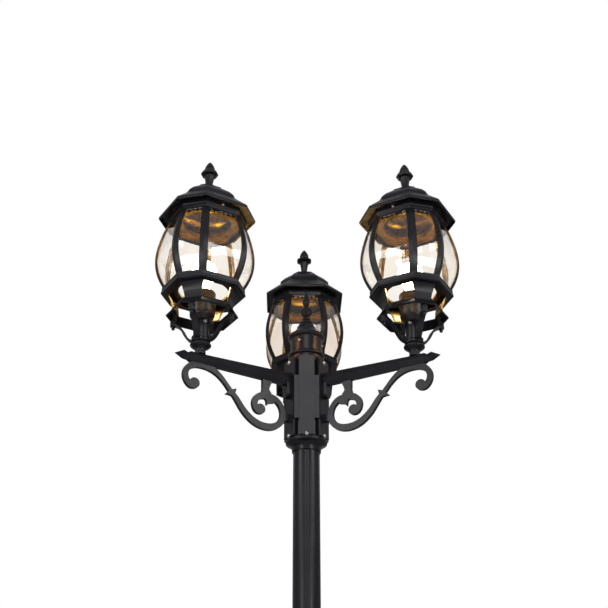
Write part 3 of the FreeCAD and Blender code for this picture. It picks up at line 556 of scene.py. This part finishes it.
# %% Plastics
def moulded(name, light, dark, rough, grain_mm, ior=1.5):
    """A moulded plastic: one colour with a faint cloud and the mould's fine grain."""
    material, tree, shader, place = new_material(name)
    cloud = noise(tree, place, grain_mm * 12, 3.0)
    grain = noise(tree, place, grain_mm, 1.0)
    tree.links.new(ramp(tree, cloud, ((0.3, dark), (0.7, light))), shader.inputs["Base Color"])
    tree.links.new(span(tree, cloud, rough - 0.05, rough + 0.07), shader.inputs["Roughness"])
    tree.links.new(bump(tree, grain, 0.04, 0.5), shader.inputs["Normal"])
    shader.inputs["IOR"].default_value = ior
    return material


BRASS_RING = (0.1245, 0.1347)


def ringed_phenolic():
    """Dark brown phenolic, with the two ridges round its middle in lacquered brass."""
    material = moulded("brown_phenolic_with_brass_ring", "#261a12", "#170f0a", 0.4, 1.5)
    tree = material.node_tree
    shader = tree.nodes["Principled BSDF"]
    place = add_node(tree, "ShaderNodeTexCoord").outputs["Object"]
    height = upward(tree, place)
    above = maths(tree, "GREATER_THAN", height, ARM_TOP + BRASS_RING[0])
    below = maths(tree, "LESS_THAN", height, ARM_TOP + BRASS_RING[1])
    ring = maths(tree, "MULTIPLY", above, below)
    brown = shader.inputs["Base Color"].links[0].from_socket
    brass = ramp(tree, noise(tree, place, 4.0), ((0.3, "#6b4715"), (0.7, "#93692a")))
    tree.links.new(mix_colours(tree, ring, brown, brass), shader.inputs["Base Color"])
    tree.links.new(ring, shader.inputs["Metallic"])
    return material


phenolic = ringed_phenolic()
nylon = moulded("white_nylon", "#e8e7df", "#d9d7cc", 0.45, 1.2, 1.53)
pvc = moulded("grey_pvc_sheath", "#4a4a4c", "#3c3c3e", 0.5, 1.2, 1.53)
seal = moulded("epdm_seal", "#151515", "#0d0d0d", 0.62, 1.0)
print("made", phenolic.name, nylon.name, pvc.name, seal.name)

# %% [markdown]
# ## Finishing the castings
# The construction's meshes are loose triangles with knife edges. A real casting has a small
# radius on every edge, which is what catches the light. Rounding it in the mesh would change
# the construction, so four modifiers do it and leave the mesh alone: Weld joins the triangles,
# Bevel rounds what turns more than 32 degrees, a small node group shades the rest smooth, and
# Weighted Normal keeps the large faces flat.

# %% Edge softening
SHARP = math.radians(32)
WELD_REACH = 0.02


def shade_group():
    """Geometry nodes that smooth every face and keep edges sharper than SHARP."""
    group = bpy.data.node_groups.new("smooth_but_sharp_edges", "GeometryNodeTree")
    group.interface.new_socket("Geometry", in_out="INPUT", socket_type="NodeSocketGeometry")
    group.interface.new_socket("Geometry", in_out="OUTPUT", socket_type="NodeSocketGeometry")
    start = add_node(group, "NodeGroupInput")
    angle = add_node(group, "GeometryNodeInputMeshEdgeAngle")
    sharp = add_node(group, "FunctionNodeCompare", {0: angle.outputs["Unsigned Angle"]},
                     {"data_type": "FLOAT", "operation": "GREATER_THAN"}, _1=SHARP)
    faces = add_node(group, "GeometryNodeSetShadeSmooth", {"Geometry": start.outputs[0]},
                     {"domain": "FACE"})
    edges = add_node(group, "GeometryNodeSetShadeSmooth",
                     {"Geometry": faces.outputs[0], "Selection": sharp.outputs[0]}, {"domain": "EDGE"})
    edges.inputs["Shade Smooth"].default_value = False
    add_node(group, "NodeGroupOutput", {0: edges.outputs[0]})
    return group


smooth_but_sharp = shade_group()


def soften(piece, radius_mm):
    """Welds the triangles, rounds the edges by radius_mm and shades the piece smooth."""
    weld = piece.modifiers.new("join_triangles", "WELD")
    weld.merge_threshold = WELD_REACH * MM
    if radius_mm:
        edge = piece.modifiers.new("cast_edges", "BEVEL")
        edge.width = radius_mm * MM
        edge.segments = 2
        edge.limit_method = "ANGLE"
        edge.angle_limit = SHARP
    shade = piece.modifiers.new("shade", "NODES")
    shade.node_group = smooth_but_sharp
    if radius_mm:
        level_faces = piece.modifiers.new("level_faces", "WEIGHTED_NORMAL")
        level_faces.keep_sharp = True


def dress(name, material, radius_mm=0.0):
    """Gives a construction node its finish and its edge radius."""
    piece = nodes[name]
    piece.data.materials.clear()
    piece.data.materials.append(material)
    soften(piece, radius_mm)


# %% Dress the nodes
POST_EDGES = {"foot": 0.8, "pole": 0.0, "hub": 0.8, "hub_cap": 0.5, "hub_finial": 0.3}
ARM_EDGES = {"arm": 0.6, "scroll": 1.2, "stem": 0.4, "spider": 0.5, "leg_nuts": 0.3, "finial": 0.6}
GILT_EDGES = {"gallery": 0.6, "cage": 0.4, "roof": 0.7}

for name, radius in POST_EDGES.items():
    dress(name, coat, radius)
dress("terminal_block", nylon, 0.5)
dress("leads", pvc)
for side in SIDES:
    for name, radius in ARM_EDGES.items():
        dress(name + "_" + side, coat, radius)
    for name, radius in GILT_EDGES.items():
        dress(name + "_" + side, gilt_coats[name, side], radius)
    dress("reflector_" + side, gold_plate, 0.2)
    dress("panes_" + side, pane_glass[side])
    dress("lampholder_" + side, phenolic, 0.4)
    dress("bulb_cap_" + side, nickel, 0.2)
print("dressed the post and", len(SIDES), "lanterns")

# %% [markdown]
# ## Surfaces from formulas
# New pieces are grids: two parameters, u along and v around, and one point of space for each
# pair, all worked out at once. The faces join each grid cell to the next. A closed piece joins
# its last column to its first, and its ends shrink to one point or meet each other. The same
# could be modelled by hand with Spin and Screw, but a formula is changed later in one place.


# %% Grid to mesh
def grid_piece(name, grids, material, body, smooth_angle=SHARP):
    """One object from closed-round grids of points, each of shape (rows, columns, 3), in metres.

    Column j joins column j + 1 and the last joins the first. A row whose points all coincide is
    a pole, and is kept as one point, so that no face there is empty.
    """
    points = []
    faces = []
    for grid in grids:
        rows, columns = grid.shape[:2]
        start = sum(len(part) for part in points)
        index = start + np.arange(rows * columns).reshape(rows, columns)
        for row in (0, rows - 1):
            if np.ptp(grid[row], axis=0).max() < 1e-9:
                index[row] = index[row, 0]
        a, b = index[:-1], index[1:]
        quads = np.stack([a, np.roll(a, -1, 1), np.roll(b, -1, 1), b], axis=-1).reshape(-1, 4)
        for quad in quads.tolist():
            corners = list(dict.fromkeys(quad))
            if len(corners) > 2:
                faces.append(corners)
        points.append(grid.reshape(-1, 3))
    points = np.concatenate(points)
    used = np.unique(np.concatenate([np.array(face) for face in faces]))
    renumber = np.full(len(points), -1)
    renumber[used] = np.arange(len(used))
    mesh = bpy.data.meshes.new(name)
    mesh.from_pydata(points[used], [], [renumber[face].tolist() for face in faces])
    mesh.shade_smooth()
    mesh.set_sharp_from_angle(angle=smooth_angle)
    mesh.materials.append(material)
    piece = bpy.data.objects.new(name, mesh)
    scene.collection.objects.link(piece)
    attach(piece, body)
    print(name, "has", len(faces), "faces")
    return piece


def lathe(profile, columns=64):
    """A profile of (radius, height) turned about Z: x = r cos v, y = r sin v."""
    profile = np.asarray(profile, float)
    v = np.arange(columns) * 2 * np.pi / columns
    r, z = profile[:, :1], profile[:, 1:]
    return np.stack([r * np.cos(v), r * np.sin(v), z + 0 * v], axis=-1)


def aimed(grid, at, way, spin=0.0):
    """A grid built on +Z, spun about it, turned so that +Z points along way, and moved to at."""
    way = np.asarray(way, float) / np.linalg.norm(way)
    side = np.cross((0, 0, 1), way)
    side = np.array([1.0, 0, 0]) if np.linalg.norm(side) < 1e-6 else side / np.linalg.norm(side)
    other = np.cross(way, side)
    c, s = math.cos(spin), math.sin(spin)
    side, other = side * c + other * s, other * c - side * s
    return grid[..., :1] * side + grid[..., 1:2] * other + grid[..., 2:] * way + np.asarray(at, float)


# %% [markdown]
# ## Screws
# Domed zinc screws hold the pole, the arms, the cap, the roofs and the holders. Only their heads
# show, so only these are made, in place of the construction's plain screws. The head is a
# spherical cap with a hexagon sunk in it. It could be cut with a Boolean; on a polar grid it
# needs none: the height is the dome's, less the socket's depth within the hexagon's flats.

# %% Screw heads
SOCKET_ROWS = 5
DOME_ROWS = 12
SKIRT = 0.4
UNDER_SHARE = 0.4


def screw_head(radius, height, socket, depth, columns=48):
    """A domed head: z = sqrt(R^2 - r^2) - (R - height), sunk by depth inside a hexagonal socket.

    All sizes are in mm; socket is half the hexagon's width over its flats.
    """
    ball = (radius ** 2 + height ** 2) / (2 * height)
    v = np.arange(columns) * 2 * np.pi / columns
    to_flat = socket / np.cos((v % (np.pi / 3)) - np.pi / 6)
    inside = np.linspace(0, 1, SOCKET_ROWS)
    outside = 1 + np.linspace(0.03, 1, DOME_ROWS)
    rows = []
    for k, share in enumerate(np.concatenate([inside, [1.0], outside])):
        r = to_flat * share if share <= 1 else to_flat + (radius - to_flat) * (share - 1)
        sunk = depth if k < SOCKET_ROWS else 0.0
        z = np.sqrt(ball ** 2 - r ** 2) - (ball - height) - sunk
        rows.append(np.stack([r * np.cos(v), r * np.sin(v), z], -1))
    rows.append(rows[-1] * (1, 1, 0) - (0, 0, SKIRT))
    under = rows[-1] * (UNDER_SHARE, UNDER_SHARE, 1)
    return np.stack(rows + [under, under * (0, 0, 1)]) * MM


def screws(name, seats, size, body):
    """Heads on seats, each (point, direction), instead of a construction node of the same name."""
    grids = [aimed(screw_head(*size)[::-1], at, way, spin=0.4 + 1.1 * i)
             for i, (at, way) in enumerate(seats)]
    piece = grid_piece(name + "_heads", grids, zinc, body)
    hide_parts(name)
    return piece


# %% [markdown]
# ## Where the screws sit
# Screw sizes are in mm, as (head radius, head height, half the socket, its depth). Seats round
# the post are in metres, seats on a lantern in mm from its foot. The arms' plates, the hub's
# strips and the foot's sleeve are drilled square on; the cap's three screws sit 28 degrees round
# from the strips, as the one that shows in front does. A lantern is an octagon whose long sides
# span 54 degrees and whose short ones span 36; LONG_HALF is half of a long one.

# %% Screws round the post
ARM_SCREW = (5.5, 3.6, 2.0, 1.6)
POST_SCREW = (4.5, 3.0, 1.7, 1.4)
CAP_SCREW = (3.4, 2.4, 1.2, 1.0)
ARM_ANGLES = (210, -30, 90)
STRIP_ANGLES = (-90, 30, 150)
CAP_TURN = -28
CAP_ANGLES = [angle + CAP_TURN for angle in STRIP_ANGLES]
PLATE_FACE, STRIP_FACE, DRUM_FACE, SLEEVE_FACE = 0.047, 0.048, 0.0375, 0.043
PLATE_UP = (ARM_TOP + 0.034, ARM_TOP - 0.146)
STRIP_UP = (ARM_TOP - 0.149,)
DRUM_UP = (ARM_TOP + 0.090,)
SLEEVE_UP = (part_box("foot")[1][2] - 0.030,)


def level(degrees):
    """A level direction, in degrees from +X."""
    return np.array([math.cos(math.radians(degrees)), math.sin(math.radians(degrees)), 0.0])


def ring_seats(angles, distance, heights):
    """Seats round the post's axis."""
    return [(level(a) * distance + (0, 0, z), level(a)) for a in angles for z in heights]


screws("arm_screws", ring_seats(ARM_ANGLES, PLATE_FACE, PLATE_UP), ARM_SCREW, "root")
screws("pole_screws", ring_seats(STRIP_ANGLES, STRIP_FACE, STRIP_UP), POST_SCREW, "root")
screws("cap_screws", ring_seats(CAP_ANGLES, DRUM_FACE, DRUM_UP), CAP_SCREW, "root")
screws("foot_screws", ring_seats(STRIP_ANGLES, SLEEVE_FACE, SLEEVE_UP), POST_SCREW, "root")

# %% Screws on the lanterns
ROOF_SCREW = (3.6, 2.4, 1.3, 1.1)
HOLDER_SCREW = (5.0, 4.2, 2.0, 1.6)
LONG_HALF = 27.0
COLLAR_CORNER = 94
COLLAR_UP = 350
HOLDER_FACE = 18
HOLDER_UP = 76


def lantern_seats(side, distance, height):
    """Seats on both sides of a lantern, square to its arm; distance and height in mm."""
    seats = []
    for sign in (-1, 1):
        at, tip = to_row(side, [(0, sign * distance, height), (0, sign * (distance + 10), height)])
        seats.append((at, tip - at))
    return seats


collar_face = COLLAR_CORNER * math.cos(math.radians(LONG_HALF))
for side in SIDES:
    roof_seats = lantern_seats(side, collar_face, COLLAR_UP)
    screws("roof_screws_" + side, roof_seats, ROOF_SCREW, "roof_" + side)
    holder_seats = lantern_seats(side, HOLDER_FACE, HOLDER_UP)
    screws("holder_screws_" + side, holder_seats, HOLDER_SCREW, "root")


# %% [markdown]
# ## The bulbs
# Through the panes only a warm glow shows above the holder, with no outline to it. An opal
# envelope comes near it: lit, it is as white as the background. It is a thin shell, whose
# profile runs down the inside and back up the outside, a millimetre apart. A sphere on a tube
# would show a crease; here the neck's curve runs into the ball 38 degrees under its middle.


# %% Bulb profile
ENVELOPE_INSET = 0.3
ENVELOPE_WALL = 1.0


def bulb_outline(inset):
    """Radius and height from the neck to the crown: a straight neck that swells into a ball."""
    t = np.linspace(0, 1, 22)
    join = math.radians(-38)
    join_r = BULB_R * math.cos(join)
    join_z = BULB_Z + BULB_R * math.sin(join)
    swell = t ** 2.2 * (1.6 - 0.6 * t)
    neck = np.stack([NECK_R + (join_r - NECK_R) * swell, NECK_Z + (join_z - NECK_Z) * t], -1)
    a = np.linspace(join, math.pi / 2, 26)[1:]
    ball = np.stack([BULB_R * np.cos(a), BULB_Z + BULB_R * np.sin(a)], -1)
    line = np.concatenate([neck, ball])
    line[:, 0] = np.maximum(line[:, 0] - inset, 0)
    line[-1] = (0, BULB_Z + BULB_R - inset)
    return line


def bulb_shell(side):
    """The glass envelope, 1 mm thick, whose two faces meet in a rim at the neck."""
    outer = bulb_outline(ENVELOPE_INSET)
    inner = bulb_outline(ENVELOPE_INSET + ENVELOPE_WALL)[::-1]
    inner[-1, 1] = outer[0, 1]
    profile = np.concatenate([inner, outer])
    grid = to_row(side, lathe(profile))
    piece = grid_piece("bulb_envelope_" + side, [grid], opal, "bulb_" + side,
                       math.radians(60))
    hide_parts("bulb_" + side)
    return piece


for side in SIDES:
    bulb_shell(side)

# %% [markdown]
# ## Ribbed bosses
# The bosses at the ends of a lantern's four legs are ribbed like thumb nuts. A knurl cut into
# the casting would be heavy, so a thin sleeve goes round each: a circle whose radius ripples,
# turned about a profile that says where it is ribbed and where it is plain.

# %% Ribbed bosses
BOSS_PLACE = 68
RIBS = 14
RIPPLE = 0.45
BOSS_PROFILE = ((6.0, 77.2, 0), (6.7, 77.2, 0), (7.1, 77.8, 1), (7.1, 83.5, 1), (6.8, 84.2, 0),
                (6.8, 85.0, 0), (7.1, 85.7, 1), (7.1, 92.4, 1), (6.7, 93.0, 0), (6.0, 93.0, 0))


def ribbed_bosses(side):
    """Sleeves on the four bosses: r = 7.1 + 0.45 cos(14 v) where ribbed, with chamfered ends."""
    columns = 8 * RIBS
    v = np.arange(columns) * 2 * np.pi / columns
    profile = np.array(BOSS_PROFILE)
    r = profile[:, :1] + profile[:, 2:] * RIPPLE * np.cos(RIBS * v)
    grid = np.stack([r * np.cos(v), r * np.sin(v), profile[:, 1:2] + 0 * v], -1)
    grid = np.concatenate([grid, grid[:1]])
    grids = []
    for k in range(4):
        a = math.radians(45 + 90 * k)
        grids.append(to_row(side, grid + (BOSS_PLACE * math.cos(a), BOSS_PLACE * math.sin(a), 0)))
    return grid_piece("ribbed_bosses_" + side, grids, coat, "root")


for side in SIDES:
    ribbed_bosses(side)

# %% [markdown]
# ## Seal, rivets and teeth
# A black seal runs between the gallery and the cage, where rain would get in: an ellipse laid at
# each of the octagon's eight corners. Small domed rivets hold the ribs' tops. Bent teeth hold
# the panes' upper edges, six on a long side and four on a short one. An array modifier could
# repeat them, but the octagon's sides differ, so a loop places each.

# %% Seal
SEAL_CORNER, SEAL_UP = 92.6, 162.0
SEAL_WIDE, SEAL_TALL = 1.2, 0.9


def octagon_path(radius, z):
    """The lantern's eight corners at a radius and height."""
    angles = np.radians([q + s for q in (0, 90, 180, 270) for s in (-LONG_HALF, LONG_HALF)])
    return np.stack([radius * np.cos(angles), radius * np.sin(angles), np.full(8, float(z))], -1)


def bead(radius, z, wide, tall):
    """A rounded bead round the octagon: its section is an ellipse, laid at each corner."""
    u = np.arange(16) * 2 * np.pi / 16
    grid = np.stack([octagon_path(radius + wide * math.cos(a), z + tall * math.sin(a)) for a in u])
    return np.concatenate([grid, grid[:1]])


for side in SIDES:
    seal_grid = to_row(side, bead(SEAL_CORNER, SEAL_UP, SEAL_WIDE, SEAL_TALL))
    grid_piece("cage_seal_" + side, [seal_grid], seal, "root")

# %% Rivets
RIVET = (2.0, 1.3, 0.7, 0.3)
RIB_CORNER = 91.5
RIVET_UP = 331.0
RIVET_ASIDE = 4.6


def rivets(side):
    """One small domed rivet at the top of each rib, on its flank beside a long pane."""
    grids = []
    for k, corner in enumerate(octagon_path(RIB_CORNER, RIVET_UP)):
        toward = -1 if k % 2 else 1
        a = math.degrees(math.atan2(corner[1], corner[0]))
        face = 90 * round(a / 90)
        at = corner + level(face + 90) * toward * RIVET_ASIDE
        at, tip = to_row(side, [at, at + level(face) * 10])
        grids.append(aimed(screw_head(*RIVET)[::-1], at, tip - at))
    return grid_piece("rib_rivets_" + side, grids, zinc, "root")


for side in SIDES:
    rivets(side)

# %% Teeth
TEETH = {"long": (-30, -18, -6, 6, 18, 30), "short": (-16.5, -5.5, 5.5, 16.5)}
NECK_CORNER = 93.0
TOOTH_INSET = 8.1
TOOTH_UP = 330.6
TOOTH_LONG = 4.5
TOOTH_BEND = 1.2
TOOTH_SECTION = np.array([(-2.0, -0.35), (2.0, -0.35), (2.0, 0.35), (-2.0, 0.35)])


def tooth(out, along, reach, place):
    """One bent tab: a flat section swept down a path that bows inwards by a sine."""
    t = np.linspace(0, 1, 7)[:, None]
    start = out * reach + along * place + (0, 0, TOOTH_UP)
    path = start - np.array([0, 0, TOOTH_LONG]) * t - out * (TOOTH_BEND * np.sin(np.pi * t))
    ring = TOOTH_SECTION[:, :1] * along + TOOTH_SECTION[:, 1:] * out
    first = np.repeat(path[:1, None], 4, 1)
    last = np.repeat(path[-1:, None], 4, 1)
    return np.concatenate([first, path[:, None] + ring, last])


def teeth(side):
    """The teeth along the upper edges of a lantern's eight panes."""
    grids = []
    for k in range(8):
        size = "short" if k % 2 else "long"
        half = 45 - LONG_HALF if k % 2 else LONG_HALF
        reach = NECK_CORNER * math.cos(math.radians(half)) - TOOTH_INSET
        for place in TEETH[size]:
            grids.append(to_row(side, tooth(level(45 * k), level(45 * k + 90), reach, place)))
    return grid_piece("pane_teeth_" + side, grids, coat, "root", math.radians(20))


for side in SIDES:
    teeth(side)
